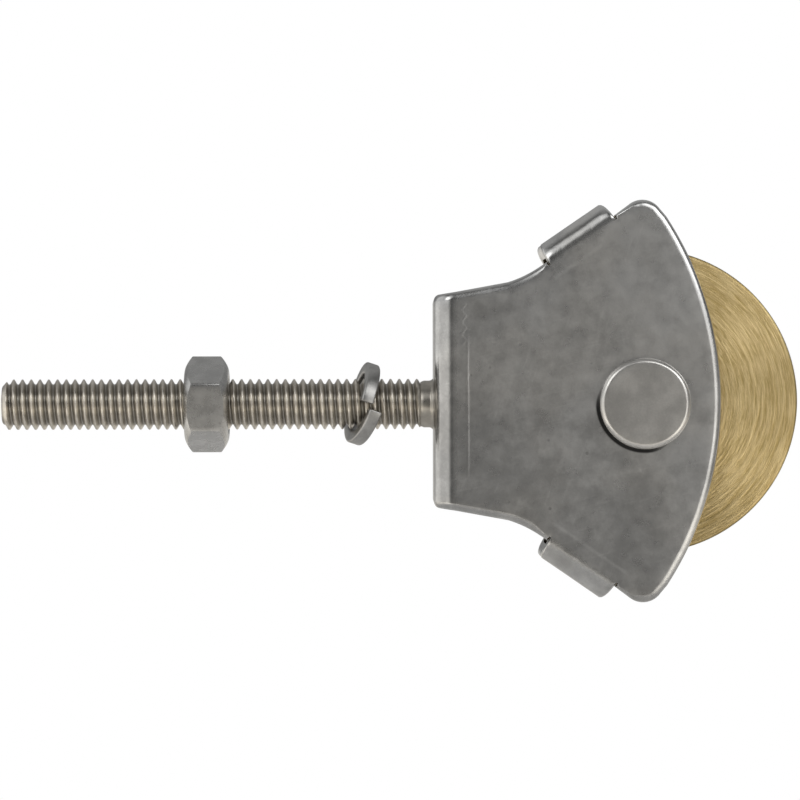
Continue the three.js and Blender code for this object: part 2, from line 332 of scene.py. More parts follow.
def folded(point, depth, side):
    """Where a point of the flat sheet goes once the web and the tabs are folded."""
    level = 1 if point.y >= 0 else -1
    local = Vector((point.x, abs(point.y))) - TAB_FOOT
    start, run = local.dot(FLANK), local.dot(FLANK_OUT) + TAB_SETBACK
    if run > 0 and -TAB_RELIEF / 2 < start < TAB_LENGTH + TAB_RELIEF / 2:
        angle = min(run, TAB_BEND) / TAB_RADIUS
        rest = max(0.0, run - TAB_BEND)
        out = -TAB_SETBACK + TAB_RADIUS * math.sin(angle)
        inner = TAB_RADIUS * (1 - math.cos(angle)) + rest
        flat = TAB_FOOT + FLANK * start + FLANK_OUT * out
        place = Vector((flat.x, side * (OUTER_Y - inner), level * flat.y))
        lean = FLANK_OUT * math.sin(angle)
        normal = Vector((lean.x, side * math.cos(angle), level * lean.y))
        return place - normal * depth
    run = point.x - SEAM
    if run <= WEB_FLAT:
        return Vector((depth, side * run, point.y))
    if run < WEB_FLAT + FOLD_LENGTH:
        angle = (run - WEB_FLAT) / FOLD_RADIUS
        radius = FOLD_RADIUS - depth
        return Vector(
            (
                FOLD_RADIUS - radius * math.cos(angle),
                side * (WEB_FLAT + radius * math.sin(angle)),
                point.y,
            )
        )
    return Vector((point.x, side * (OUTER_Y - depth), point.y))


def dent(point, side):
    """The shallow waviness of the pressed sheet, and the faint press line beside the fold."""
    past_fold = point.x - FOLD_RADIUS - 0.4
    if past_fold < 0:
        return 0.0
    fade = min(1.0, past_fold / 3)
    wave = noise.noise(Vector((point.x * 0.11, point.y * 0.11, 3.7 * side)))
    wave += 0.35 * noise.noise(Vector((point.x * 0.3, point.y * 0.3, 8.1 * side)))
    shallow = 0.05 * fade * wave
    if side < 0:
        reach = max(0.0, 1 - (abs(point.y + 0.6) / PRESS_REACH) ** 6)
        bend = 0.08 * noise.noise(Vector((0.5, point.y * 0.25, 1.3)))
        off = (point.x - PRESS_LINE - bend) / PRESS_WIDTH
        shallow -= PRESS_HEIGHT * reach * math.exp(-(off ** 2))
    return shallow


def polish(point, inset):
    """The folds and the rolled edge are brighter than the flat sheet."""
    edge = 1.0 - min(1.0, inset / 0.8)
    fold = max(0.0, 1.0 - max(0.0, point.x - FOLD_RADIUS + 0.5) / 0.8)
    local = Vector((point.x, abs(point.y))) - TAB_FOOT
    run = local.dot(FLANK_OUT) + TAB_SETBACK
    tab = min(1.0, max(0.0, run + 0.2)) if -0.2 < local.dot(FLANK) < TAB_LENGTH + 0.2 else 0.0
    return max(edge, fold, tab)


def inside(point, loop):
    """Whether a point lies inside a closed outline."""
    found = False
    for a, b in zip(loop, loop[1:] + loop[:1]):
        if (a.y > point.y) != (b.y > point.y):
            if point.x < a.x + (b.x - a.x) * (point.y - a.y) / (b.y - a.y):
                found = not found
    return found


def clear_of(point, loops, gap):
    return all((point - p).length > gap for loop in loops for p in loop)


def sheet_grid():
    """Points that carry the folds, the waviness and the press line."""
    columns = [SEAM + WEB_FLAT * i / 5 for i in range(5)]
    columns += [FOLD_RADIUS - FOLD_LENGTH + FOLD_LENGTH * i / 14 for i in range(15)]
    columns += [2.8, 3.2, 3.45] + [3.55 + 0.06 * i for i in range(11)] + [4.3, 4.7, 5.2]
    columns += [5.9 + 0.85 * i for i in range(32)]
    points = []
    for x in columns:
        step = 0.55 if 3.3 < x < 4.4 else 0.8
        count = int(22.5 / step)
        points += [Vector((x, step * i)) for i in range(-count, count + 1)]
    for level in (1, -1):
        runs = [TAB_BEND * i / 12 for i in range(13)]
        runs += [TAB_BEND + 1.0, TAB_BEND + 2.0, TAB_END - 0.8]
        for run in runs:
            for i in range(11):
                start = 0.5 + (TAB_LENGTH - 1) * i / 10
                place = along_flank(start, run - TAB_SETBACK)
                points.append(Vector((place.x, level * place.y)))
    return points


def half_sheet(shape, side):
    """The sheet from the web's middle to one cheek: its edges and holes, then its two faces."""
    outline = sheet_outline()
    path = [p for p, roll in outline]
    rolls = [roll for p, roll in outline]
    turns = inwards(path)
    bolt = Vector((SEAM, -LIFT))
    stud_hole = arc(bolt, STUD_HOLE, -math.pi / 2, math.pi / 2, 20)
    stud_turns = [(p - bolt).normalized() for p in stud_hole]
    axle = Vector((AXLE_X, 0))
    rivet_hole = arc(axle, RIVET_HOLE, 0, TURN, 40)[:-1]
    rivet_turns = [(p - axle).normalized() for p in rivet_hole]

    def rows(points, directions, profile, closed, scales=None):
        """Rows of points through the sheet's thickness, along an edge."""
        scales = scales or [1.0] * len(points)
        made = []
        for inset, depth in profile:
            spots = [p + d * inset * s for p, d, s in zip(points, directions, scales)]
            dents = [dent(p, side) * max(0.0, 1 - depth / 0.7) for p in spots]
            wear_and_shade_level = [polish(p, inset) for p in spots]
            made.append(shape.add([folded(p, depth + h, side) for p, h in zip(spots, dents)], wear_and_shade_level))
        shape.skin(made, closed)
        return made

    edge_rows = rows(path, turns, EDGE_ROLL, False, rolls)
    stud_rows = rows(stud_hole, stud_turns, HOLE_EDGE, False)
    rivet_rows = rows(rivet_hole, rivet_turns, HOLE_EDGE, True)

    for face in (0, -1):
        inset, depth = EDGE_ROLL[face]
        hole_inset = HOLE_EDGE[face][0]
        border = [p + d * inset * s for p, d, s in zip(path, turns, rolls)]
        stud_edge = [p + d * hole_inset for p, d in zip(stud_hole, stud_turns)]
        rivet_edge = [p + d * hole_inset for p, d in zip(rivet_hole, rivet_turns)]
        loop = border + stud_edge
        fixed = [edge_rows[face], stud_rows[face], rivet_rows[face]]
        ids = [i for row in fixed for i in row]
        seam = [p for p in sheet_grid() if abs(p.x - SEAM) < 1e-6]
        seam = [p for p in seam if (p - bolt).length > STUD_HOLE + 0.4]
        seam = [p for p in seam if abs(p.y) < WEB_HALF_HEIGHT - inset - 0.25]
        free = [p for p in sheet_grid() if p.x > SEAM + 1e-6 and inside(p, loop)]
        free = [p for p in free if not inside(p, rivet_edge)]
        free = [p for p in free if clear_of(p, (border, stud_edge, rivet_edge), 0.3)]
        spots = loop + rivet_edge + seam + free
        dents = [dent(p, side) if face == 0 else 0.0 for p in spots]
        rest = list(zip(spots, dents))[len(ids):]
        wear_and_shade_level = [polish(p, 1.0) for p, h in rest]
        made = shape.add([folded(p, depth + h, side) for p, h in rest], wear_and_shade_level)
        ids += made
        count, hole_count = len(loop), len(rivet_edge)
        edges = [(i, i + 1) for i in range(len(border) - 1)]
        edges += [(i, i + 1) for i in range(len(border), count - 1)]
        edges += [(count + i, count + (i + 1) % hole_count) for i in range(hole_count)]
        vertices, _, faces, origins, _, _ = delaunay_2d_cdt(spots, edges, [], 0, 1e-7)
        for triangle in faces:
            middle = sum((Vector(vertices[i]) for i in triangle), Vector((0, 0))) / 3
            if inside(middle, loop) and not inside(middle, rivet_edge):
                shape.faces.append(tuple(ids[origins[i][0]] for i in triangle))


def bracket():
    shape = Shape()
    half_sheet(shape, -1)
    half_sheet(shape, 1)
    return shape.move(Matrix.Translation((0, 0, LIFT)))


# ---------------------------------------------------------------- wheel and axle

def sheave():
    """The grooved wheel, with the fine ridges that the lathe left on its faces."""
    rim_y = math.sqrt(GROOVE_RADIUS ** 2 - (WHEEL_RADIUS - GROOVE_CENTRE) ** 2)
    mouth = math.atan2(rim_y, WHEEL_RADIUS - GROOVE_CENTRE)
    groove = arc((GROOVE_CENTRE, 0), GROOVE_RADIUS, -mouth, mouth - TURN, 28)
    face = []
    margin = 0.3
    count = int((WHEEL_RADIUS - WHEEL_BORE - 2 * margin) / FEED)
    for i in range(count + 1):
        radius = WHEEL_BORE + margin + FEED * i
        cut = 0.01 * noise.noise(Vector((radius * 2.9, 0.4, 2.2)))
        cut += 0.008 * noise.noise(Vector((radius * 9.3, 5.4, 1.2)))
        face.append((radius, cut))
    along, outwards = BORE_EDGE
    profile = [(-WHEEL_HALF + along, WHEEL_BORE), (-WHEEL_HALF, WHEEL_BORE + outwards)]
    profile += [(-WHEEL_HALF + TURNED_DEPTH + cut, radius) for radius, cut in face]
    profile += [(-WHEEL_HALF + below, WHEEL_RADIUS - inset) for below, inset in RIM_EDGE]
    profile += [(p.y, p.x) for p in groove]
    profile += [(WHEEL_HALF - below, WHEEL_RADIUS - inset) for below, inset in reversed(RIM_EDGE)]
    profile += [(WHEEL_HALF - TURNED_DEPTH - cut, radius) for radius, cut in reversed(face)]
    profile += [(WHEEL_HALF, WHEEL_BORE + outwards), (WHEEL_HALF - along, WHEEL_BORE)]
    shape = Shape()
    lathe_y(shape, profile, 192, loop=True)
    return shape


def sleeve():
    edge = 0.15
    shape = Shape()
    profile = [
        (-SLEEVE_HALF + edge, SLEEVE_BORE), (-SLEEVE_HALF, SLEEVE_BORE + edge),
        (-SLEEVE_HALF, SLEEVE_RADIUS - edge), (-SLEEVE_HALF + edge, SLEEVE_RADIUS),
        (SLEEVE_HALF - edge, SLEEVE_RADIUS), (SLEEVE_HALF, SLEEVE_RADIUS - edge),
        (SLEEVE_HALF, SLEEVE_BORE + edge), (SLEEVE_HALF - edge, SLEEVE_BORE),
    ]
    lathe_y(shape, profile, 96, loop=True)
    return shape


def rivet():
    """The axle rivet: a flat head with a rounded edge in front, and a low dome behind."""
    shape = Shape()
    seat = OUTER_Y + GAP
    top = seat + HEAD_HEIGHT
    head = [(-seat - 0.02, HEAD_RADIUS - 0.7), (-seat - 0.12, HEAD_RADIUS - 0.32)]
    head += [(-seat - 0.32, HEAD_RADIUS - 0.08), (-seat - 0.5, HEAD_RADIUS)]
    for p in arc((HEAD_RADIUS - HEAD_ROLL, top - HEAD_ROLL), HEAD_ROLL, 0, math.pi / 2, 8):
        head.append((-p.y, p.x))
    for i in range(5):
        head.append((-top + 0.0018 * (5 - i), HEAD_RADIUS - HEAD_ROLL - 0.9 * (i + 1)))
    lathe_y(shape, head, 128, middle=(AXLE_X + HEAD_OFFSET.x, 0, LIFT + HEAD_OFFSET.z))
    pin = [(-seat - 0.3, RIVET_RADIUS), (seat + 0.2, RIVET_RADIUS)]
    lathe_y(shape, pin, 96)
    far = [(seat + 0.02, FAR_HEAD_RADIUS - 0.5), (seat + 0.12, FAR_HEAD_RADIUS - 0.15)]
    for i in range(13):
        angle = math.pi / 2 * i / 13
        along = seat + 0.3 + FAR_HEAD_HEIGHT * math.sin(angle)
        far.append((along, FAR_HEAD_RADIUS * math.cos(angle)))
    lathe_y(shape, far, 128)
    return shape


# ---------------------------------------------------------------- stud, nut and washer

# One turn of the thread: how far along its pitch, and the height from root (0) to crest (1)
THREAD = [
    (0.0, 1.0), (0.06, 0.99), (0.1, 0.93), (0.18, 0.7), (0.26, 0.46), (0.34, 0.22),
    (0.41, 0.05), (0.5, 0.0), (0.59, 0.05), (0.66, 0.22), (0.74, 0.46), (0.82, 0.7),
    (0.9, 0.93), (0.94, 0.99),
]


def thread(shape, start, end, reach, columns=56):
    """A right-hand thread along X. reach(x) is the largest radius at x."""
    turns = int((end - start) / PITCH) + 2
    rows = []
    for turn in range(-1, turns + 1):
        for part, height in THREAD:
            row = []
            for j in range(columns):
                x = start + PITCH * (turn + part + j / columns)
                angle = TURN * j / columns
                place = min(max(x, start), end)
                wobble = noise.noise(Vector((place * 1.7, math.cos(angle), math.sin(angle))))
                radius = ROOT + (CREST - ROOT) * height + 0.012 * wobble
                radius = min(radius, reach(place))
                row.append((place, radius * math.cos(angle), radius * math.sin(angle)))
            # the thread's height from root to crest goes in as the wear value, so the stud's roots
            # get painted shade
            rows.append(shape.add(row, height))
    per_turn = len(THREAD)
    for k in range(len(rows) - per_turn - 1):
        a, b = rows[k], rows[k + 1]
        far_a, far_b = rows[k + per_turn], rows[k + per_turn + 1]
        for j in range(columns - 1):
            shape.faces.append((a[j], a[j + 1], b[j + 1], b[j]))
        shape.faces.append((a[-1], far_a[0], far_b[0], b[-1]))


def stud_reach(x):
    """The bolt is chamfered at its free end, and its thread runs out before the neck."""
    from_end = x + STUD_LENGTH
    if from_end < END_CHAMFER:
        return TIP_RADIUS + 0.7 * from_end / END_CHAMFER
    to_neck = -NECK_LENGTH - x
    if to_neck < RUN_OUT:
        low = NECK_RADIUS - 0.12
        return low + (CREST - low) * max(0.0, to_neck) / RUN_OUT
    return CREST + 0.1


def hexagon_radius(angle):
    """The distance from the axis to a hexagon's side, with its corners slightly rounded."""
    total = 0.0
    for i in range(6):
        total += max(0.0, math.cos(angle - i * TURN / 6)) ** HEX_ROUNDING
    return HEX_FLATS / 2 / total ** (1 / HEX_ROUNDING)


def hexagon_angles():
    inner = [-29.4, -28.2, -26.5, -23.5, -18, -11, -4, 4, 11, 18, 23.5, 26.5, 28.2, 29.4]
    return [math.radians(60 * i + a) for i in range(6) for a in inner]


def hexagon_rows(start, end, face_radius, chamfer):
    """Rows of a nut's or bolt head's outside, each a list of points round the axis.

    The ends curve back from face_radius towards the corners by chamfer."""
    angles = hexagon_angles()
    corner = HEX_CORNERS / 2

    def drop(radius):
        part = max(0.0, (radius - face_radius) / (corner - face_radius))
        return chamfer * part ** 1.55

    rows = []
    shares = [i / 9 for i in range(10)]
    for share in shares:
        row = []
        for a in angles:
            radius = face_radius + (hexagon_radius(a) - face_radius) * share
            row.append((start + drop(radius), radius, a))
        rows.append(row)
    for share in (0.03, 0.5, 0.97):
        row = []
        for a in angles:
            radius = hexagon_radius(a)
            low, high = start + drop(radius), end - drop(radius)
            row.append((low + (high - low) * share, radius + 0.012, a))
        rows.append(row)
    for share in reversed(shares):
        row = []
        for a in angles:
            radius = face_radius + (hexagon_radius(a) - face_radius) * share
            row.append((end - drop(radius), radius, a))
        rows.append(row)
    return [[(x, r * math.cos(a), r * math.sin(a)) for x, r, a in row] for row in rows]


def stud():
    shape = Shape()
    thread(shape, -STUD_LENGTH, -NECK_LENGTH, stud_reach)
    plain = len(shape.wear_and_shade)
    lathe_x(shape, [(-STUD_LENGTH, TIP_RADIUS), (-STUD_LENGTH, 1.6)], 56, False, True)
    # the end face gets a high value, so it is barely shaded
    shape.wear_and_shade[plain:] = [0.7] * (len(shape.wear_and_shade) - plain)
    bare = len(shape.wear_and_shade)
    neck = [(-NECK_LENGTH - 0.1, NECK_RADIUS - 0.14), (-NECK_LENGTH + 0.05, NECK_RADIUS - 0.1)]
    neck += [(-NECK_LENGTH + 0.3, NECK_RADIUS), (-0.4, NECK_RADIUS), (-0.22, NECK_RADIUS + 0.06)]
    neck += [(-0.1, NECK_RADIUS + 0.17), (0.0, CREST), (1.53, CREST)]
    lathe_x(shape, neck, 72)
    seat = SHEET + GAP
    lathe_x(shape, [(seat, 4.3), (seat + 0.08, 4.4), (seat + 0.6, 4.4)], 72)
    rows = [shape.add(row) for row in hexagon_rows(seat + 0.45, HEAD_TOP, 4.45, 0.5)]
    shape.skin(rows)
    shape.cap(rows[0])
    shape.cap(rows[-1])
    # the neck and head inside the bracket get a low value, so they are painted darker with shade
    shape.wear_and_shade[bare:] = [0.2] * (len(shape.wear_and_shade) - bare)
    return shape


def nut():
    shape = Shape()
    angles = hexagon_angles()

    def ring(x, radius):
        return [(x, radius * math.cos(a), radius * math.sin(a)) for a in angles]

    rows = [shape.add(ring(x, r)) for x, r in [(-NUT_HALF + 0.42, 3.0), (-NUT_HALF + 0.04, 3.38)]]
    rows.append(shape.add(ring(-NUT_HALF, 3.46)))
    rows += [shape.add(row) for row in hexagon_rows(-NUT_HALF, NUT_HALF, 3.85, 0.84)]
    rows.append(shape.add(ring(NUT_HALF, 3.46)))
    rows += [shape.add(ring(x, r)) for x, r in [(NUT_HALF - 0.04, 3.38), (NUT_HALF - 0.42, 3.0)]]
    shape.skin(rows + rows[:1])
    turn = Matrix.Rotation(NUT_TURN, 4, "X")
    return shape.move(Matrix.Translation((NUT_X, 0, 0)) @ turn)


def washer_section():
    """The wire's section as (x, radius) points: square, with rounded edges."""
    half_x, low, high, edge = WASHER_THICKNESS / 2, WASHER_BORE, WASHER_RADIUS, 0.24
    middle = (low + high) / 2
    half_r = (high - low) / 2
    points = []
    for i, (sx, sr) in enumerate([(1, 1), (-1, 1), (-1, -1), (1, -1)]):
        centre = (sx * (half_x - edge), middle + sr * (half_r - edge))
        points += arc(centre, edge, math.pi / 2 * i, math.pi / 2 * (i + 1), 4)
    return points


def lock_washer():
    """Just under one turn of wire, cut at its near side, and sprung."""
    shape = Shape()
    section = washer_section()
    middle = Vector((0, (WASHER_BORE + WASHER_RADIUS) / 2))
    steps = 110
    rows = []
    stations = [(0.0, 0.86), (0.0, 0.95), (0.0025, 1.0)]
    stations += [(i / steps, 1.0) for i in range(1, steps)]
    stations += [(0.9975, 1.0), (1.0, 0.95), (1.0, 0.86)]
    for part, size in stations:
        angle = WASHER_GAP / 2 + (TURN - WASHER_GAP) * part
        shift = WASHER_SPREAD * (part ** WASHER_WIND - 0.5)
        row = []
        for p in section:
            q = middle + (p - middle) * size
            row.append((q.x + shift, -q.y * math.cos(angle), q.y * math.sin(angle)))
        rows.append(shape.add(row))
    shape.skin(rows)
    shape.cap(rows[0])
    shape.cap(rows[-1])
    turn = Matrix.Rotation(WASHER_LEAN, 4, "Y") @ Matrix.Rotation(WASHER_YAW, 4, "Z")
    return shape.move(Matrix.Translation((WASHER_X, 0, 0)) @ turn)


# ---------------------------------------------------------------- materials

class Graph:
    """Short calls for building a node tree. Values are numbers, colours or output sockets."""

    def __init__(self, tree):
        self.tree = tree
        tree.nodes.clear()

    def put(self, kind, values=(), **settings):
        node = self.tree.nodes.new(kind)
        for key, value in settings.items():
            setattr(node, key, value)
        for key, value in dict(values).items():
            socket = node.inputs[key]
            if isinstance(value, bpy.types.NodeSocket):
                self.tree.links.new(value, socket)
            else:
                socket.default_value = value
        return node

    def math(self, operation, a, b=0.0, c=0.0):
        return self.put("ShaderNodeMath", {0: a, 1: b, 2: c}, operation=operation).outputs[0]

    def remap(self, value, low, high, to_low=0.0, to_high=1.0):
        node = self.put(
            "ShaderNodeMapRange",
            {
                "Value": value, "From Min": low, "From Max": high,
                "To Min": to_low, "To Max": to_high,
            },
            interpolation_type="SMOOTHSTEP",
        )
        return node.outputs["Result"]

    def noise(self, vector, scale, detail=3.0, roughness=0.55):
        node = self.put(
            "ShaderNodeTexNoise",
            {"Vector": vector, "Scale": scale, "Detail": detail, "Roughness": roughness},
        )
        return node.outputs["Fac"]

    def mix(self, factor, a, b):
        node = self.put("ShaderNodeMix", data_type="RGBA")
        for index, value in ((0, factor), (6, a), (7, b)):
            if isinstance(value, bpy.types.NodeSocket):
                self.tree.links.new(value, node.inputs[index])
            else:
                node.inputs[index].default_value = value
        return node.outputs[2]

    def ramp(self, value, levels):
        """A grey level that follows a value from -1 to 1."""
        node = self.put("ShaderNodeValToRGB", {"Fac": self.math("MULTIPLY_ADD", value, 0.5, 0.5)})
        node.color_ramp.interpolation = "EASE"
        stops = node.color_ramp.elements
        while len(stops) < len(levels):
            stops.new(0.5)
        for stop, (place, level) in zip(stops, levels):
            stop.position = (place + 1) / 2
            stop.color = (level, level, level, 1)
        return node.outputs["Color"]

    def combine(self, x, y, z):
        return self.put("ShaderNodeCombineXYZ", {"X": x, "Y": y, "Z": z}).outputs[0]


def grey(level, warmth=0.0):
    return (level * (1 + warmth), level, level * (1 - 1.6 * warmth), 1.0)


def millimetres(graph):
    """The surface point in the part's own frame, in millimetres: as a vector and as x, y, z."""
    place = graph.put("ShaderNodeTexCoord").outputs["Object"]
    scaled = graph.put("ShaderNodeVectorMath", {0: place, "Scale": 1 / MM}, operation="SCALE")
    split = graph.put("ShaderNodeSeparateXYZ", {0: scaled.outputs[0]})
    return scaled.outputs[0], split.outputs[0], split.outputs[1], split.outputs[2]


def finish_metal(graph, colour, roughness, height, bump=0.3, depth=0.02, values=()):
    """The metal shader with its bump, whose depth is in millimetres."""
    bumped = graph.put(
        "ShaderNodeBump", {"Height": height, "Strength": bump, "Distance": depth * MM}
    )
    inputs = {"Base Color": colour, "Roughness": roughness, "Normal": bumped.outputs[0]}
    shader = graph.put("ShaderNodeBsdfPrincipled", inputs)
    shader.inputs["Metallic"].default_value = 1.0
    for key, value in dict(values).items():
        shader.inputs[key].default_value = value
    graph.put("ShaderNodeOutputMaterial", {"Surface": shader.outputs[0]})
    return shader


def new_material(name):
    material = bpy.data.materials.new(name)
    material.use_nodes = True
    return material, Graph(material.node_tree)


def about(graph, x, z, centre_x, centre_z):
    """The offsets along X and Z from an axis along Y, and the distance from it."""
    from_x = graph.math("SUBTRACT", x, centre_x)
    from_z = graph.math("SUBTRACT", z, centre_z)
    squares = graph.math("MULTIPLY_ADD", from_x, from_x, graph.math("MULTIPLY", from_z, from_z))
    return from_x, from_z, graph.math("SQRT", squares)


def scratches(graph, x, y, z, angle, fineness):
    """Thin broken streaks on an XZ face, running at an angle."""
    c, s = math.cos(angle), math.sin(angle)
    along = graph.math("ADD", graph.math("MULTIPLY", x, c), graph.math("MULTIPLY", z, s))
    across = graph.math("SUBTRACT", graph.math("MULTIPLY", z, c), graph.math("MULTIPLY", x, s))
    squeezed = graph.combine(graph.math("MULTIPLY", along, 0.09), y, across)
    return graph.remap(graph.noise(squeezed, fineness, 2.0, 0.5), 0.62, 0.74)


def flank_line(graph, x, z, inset, width):
    """A soft line beside both slanted edges, a given distance in from them."""
    height = graph.math("ABSOLUTE", graph.math("SUBTRACT", z, LIFT))
    across = graph.math("MULTIPLY_ADD", x, FLANK_OUT.x, -TAB_FOOT.dot(FLANK_OUT))
    across = graph.math("MULTIPLY_ADD", height, FLANK_OUT.y, across)
    along = graph.math("MULTIPLY_ADD", x, FLANK.x, -TAB_FOOT.dot(FLANK))
    along = graph.math("MULTIPLY_ADD", height, FLANK.y, along)
    away = graph.math("ABSOLUTE", graph.math("ADD", across, inset))
    line = graph.remap(away, width, 0.0)
    start = graph.remap(along, -0.9, 0.3)
    stop = graph.remap(along, TAB_LENGTH + 1.2, TAB_LENGTH - 0.4)
    return graph.math("MULTIPLY", line, graph.math("MULTIPLY", start, stop))


def squiggle(graph, x, z):
    """A faint wavy mark of the press above the press line."""
    wave = graph.math("SINE", graph.math("MULTIPLY", z, 4.6))
    line = graph.math("MULTIPLY_ADD", wave, 0.2, WAVY_LINE)
    away = graph.math("ABSOLUTE", graph.math("SUBTRACT", x, line))
    window = graph.math("MULTIPLY", graph.remap(z, 6.2, 7.2), graph.remap(z, 12.0, 11.0))
    return graph.math("MULTIPLY", graph.remap(away, 0.2, 0.05), window)


def head_shadow(graph, x, y, z):
    """The painted shadow of the near rivet head: a dark crescent on the sheet beside the head's
    raised side.
    """
    centre_x, centre_z = AXLE_X + HEAD_OFFSET.x, LIFT + HEAD_OFFSET.z
    from_x, from_z, radius = about(graph, x, z, centre_x, centre_z)
    towards = graph.math("MULTIPLY_ADD", from_x, -0.64, graph.math("MULTIPLY", from_z, -0.77))
    side = graph.remap(graph.math("DIVIDE", towards, radius), 0.15, 0.75)
    width = graph.math("MULTIPLY_ADD", side, 0.42, HEAD_RADIUS)
    ring = graph.remap(graph.math("SUBTRACT", radius, width), 0.12, -0.1)
    near = graph.math("LESS_THAN", y, -OUTER_Y + 0.3)
    return graph.math("MULTIPLY", graph.math("MULTIPLY", ring, side), near)


def sheet_steel():
    """Satin stainless sheet: cloudy, lightly scratched and pitted, marked by the press, with a
    painted shadow beside the rivet head and painted light that grows towards the upper right.
    """
    material, graph = new_material("sheet_stainless")
    place, x, y, z = millimetres(graph)
    cloud = graph.noise(place, 0.16, 4.0, 0.6)
    smear = graph.noise(place, 0.55, 3.0, 0.6)
    grain = graph.noise(place, 3.2, 3.0, 0.7)
    steep = scratches(graph, x, y, z, 1.25, 1.9)
    shallow = scratches(graph, x, y, z, 0.25, 2.3)
    marks = graph.math("ADD", steep, shallow)
    pits = graph.put(
        "ShaderNodeTexVoronoi", {"Vector": place, "Scale": 0.42, "Randomness": 1.0}
    ).outputs["Distance"]
    pit = graph.remap(pits, 0.1, 0.05)
    speck = graph.math("MULTIPLY", pit, graph.remap(cloud, 0.5, 0.62))
    # a lighter band in the sheet's colour, 2 mm in from both slanted edges
    flank_band = flank_line(graph, x, z, 2.0, 0.35)
    tone = graph.math("MULTIPLY_ADD", smear, 0.55, graph.math("MULTIPLY", cloud, 0.75))
    tone = graph.math("MULTIPLY_ADD", grain, 0.22, tone)
    tone = graph.math("MULTIPLY_ADD", marks, 0.05, tone)
    tone = graph.math("MULTIPLY_ADD", flank_band, 0.16, tone)
    tone = graph.math("MULTIPLY_ADD", speck, -0.3, tone)
    wavy = squiggle(graph, x, z)
    tone = graph.math("MULTIPLY_ADD", wavy, 0.14, tone)
    # painted light: the sheet's colour lightens towards the upper right, standing in for a
    # reflection that changes across the cheek
    painted_light_slope = graph.math("ADD", graph.math("SUBTRACT", x, 17.0), z)
    tone = graph.math("MULTIPLY_ADD", painted_light_slope, 0.007, tone)
    tint = graph.remap(graph.noise(place, 0.1, 2.0), 0.4, 0.62)
    dark = graph.mix(tint, grey(0.385), grey(0.39, 0.01))
    light = graph.mix(tint, grey(0.64), grey(0.64, 0.01))
    colour = graph.mix(graph.remap(tone, 0.45, 1.05), dark, light)
    wear_and_shade_level = graph.put("ShaderNodeAttribute", attribute_name="wear_and_shade").outputs["Fac"]
    # paints the rivet head's shadow onto the sheet in near black
    colour = graph.mix(head_shadow(graph, x, y, z), colour, grey(0.05))
    roughness = graph.math("MULTIPLY_ADD", graph.noise(place, 0.7, 3.0), 0.16, 0.22)
    roughness = graph.math("MULTIPLY_ADD", wear_and_shade_level, -0.12, roughness)
    height = graph.math("MULTIPLY_ADD", grain, 0.35, graph.math("MULTIPLY", smear, 1.1))
    height = graph.math("MULTIPLY_ADD", marks, -0.3, height)
    height = graph.math("MULTIPLY_ADD", pit, -0.9, height)
    height = graph.math("MULTIPLY_ADD", wavy, 1.2, height)
    finish_metal(graph, colour, roughness, height, 0.5, 0.014)
    return material


def plain_steel(name, low, high, warmth, roughness, cloud_size, bump=0.4, grime_and_shade=0.0):
    """Machined or pressed stainless with faint mottling, and painted shade, with some grime, where
    the wear value is low.
    """
    material, graph = new_material(name)
    place = millimetres(graph)[0]
    cloud = graph.noise(place, cloud_size, 4.0, 0.6)
    grain = graph.noise(place, 4.5, 3.0, 0.65)
    tone = graph.math("MULTIPLY_ADD", grain, 0.3, graph.math("MULTIPLY", cloud, 0.8))
    colour = graph.mix(graph.remap(tone, 0.35, 0.8), grey(low, warmth), grey(high, warmth))
    # painted shade, with some grime: darkens the stud where the wear value is low, most in the
    # thread roots
    if grime_and_shade:
        wear_and_shade_level = graph.put("ShaderNodeAttribute", attribute_name="wear_and_shade").outputs["Fac"]
        root_shade_and_grime = graph.remap(wear_and_shade_level, 0.75, 0.0, 0.0, grime_and_shade)
        colour = graph.mix(root_shade_and_grime, colour, grey(0.13, 0.05))
    rough = graph.math("MULTIPLY_ADD", cloud, 0.16, roughness - 0.08)
    height = graph.math("MULTIPLY_ADD", grain, 0.4, cloud)
    finish_metal(graph, colour, rough, height, bump, 0.012)
    return material


